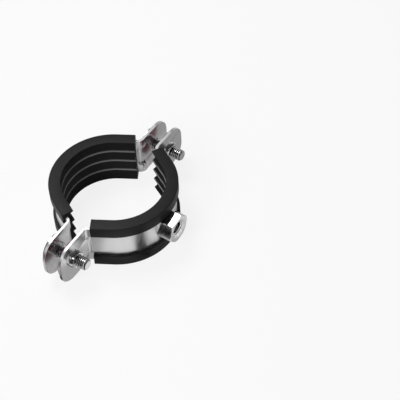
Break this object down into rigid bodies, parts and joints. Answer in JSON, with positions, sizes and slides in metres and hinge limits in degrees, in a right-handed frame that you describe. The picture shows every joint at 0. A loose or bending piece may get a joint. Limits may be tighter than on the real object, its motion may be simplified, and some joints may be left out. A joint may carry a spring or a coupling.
{
  "type": "rubber lined pipe clamp",
  "caption": "Two-part steel pipe clamp with a ribbed rubber liner, drawn together by a screw through the ears on each side, with a threaded boss that it hangs from.",
  "frame": {"origin": "centre of the pipe that the front half seats, half way along the clamp's width", "axes": "+X from the pipe's centre to the boss nut, the way the rear half closes; +Y to the right-hand ears; +Z along the pipe"},
  "size_m": [0.0705, 0.1048, 0.0274],
  "materials": {
    "steel_band": "bright zinc plated strip, polished",
    "liner_rubber": "black rubber, satin where it was moulded",
    "steel_boss": "bright zinc plated",
    "steel_fastener": "bright zinc plated, threaded",
    "washer_plastic": "dark red moulded plastic"
  },
  "bodies": {
    "front_half": {"band_front": "steel_band", "liner_front": "liner_rubber", "boss_nut": "steel_boss", "nut_left": "steel_fastener", "nut_right": "steel_fastener", "retainer_left": "washer_plastic", "retainer_right": "washer_plastic"},
    "rear_half": {"band_rear": "steel_band", "liner_rear": "liner_rubber"},
    "left_screw": {"screw_left": "steel_fastener"},
    "right_screw": {"screw_right": "steel_fastener"}
  },
  "joints": [
    {"name": "closing", "type": "slide", "parent": "front_half", "child": "rear_half", "axis": [1, 0, 0], "range_m": [-0.005, 0.0064]},
    {"name": "left_screw_spin", "type": "hinge", "parent": "rear_half", "child": "left_screw", "pos_m": [-0.0075, -0.0414, 0], "axis": [1, 0, 0], "range_deg": [-1801, 2305]},
    {"name": "right_screw_spin", "type": "hinge", "parent": "rear_half", "child": "right_screw", "pos_m": [-0.0075, 0.0414, 0], "axis": [1, 0, 0], "range_deg": [-1801, 2305]}
  ],
  "couplings": [
    {"joint": "left_screw_spin", "follows": "closing", "rad_per_m": 6283.2},
    {"joint": "right_screw_spin", "follows": "closing", "rad_per_m": 6283.2}
  ]
}
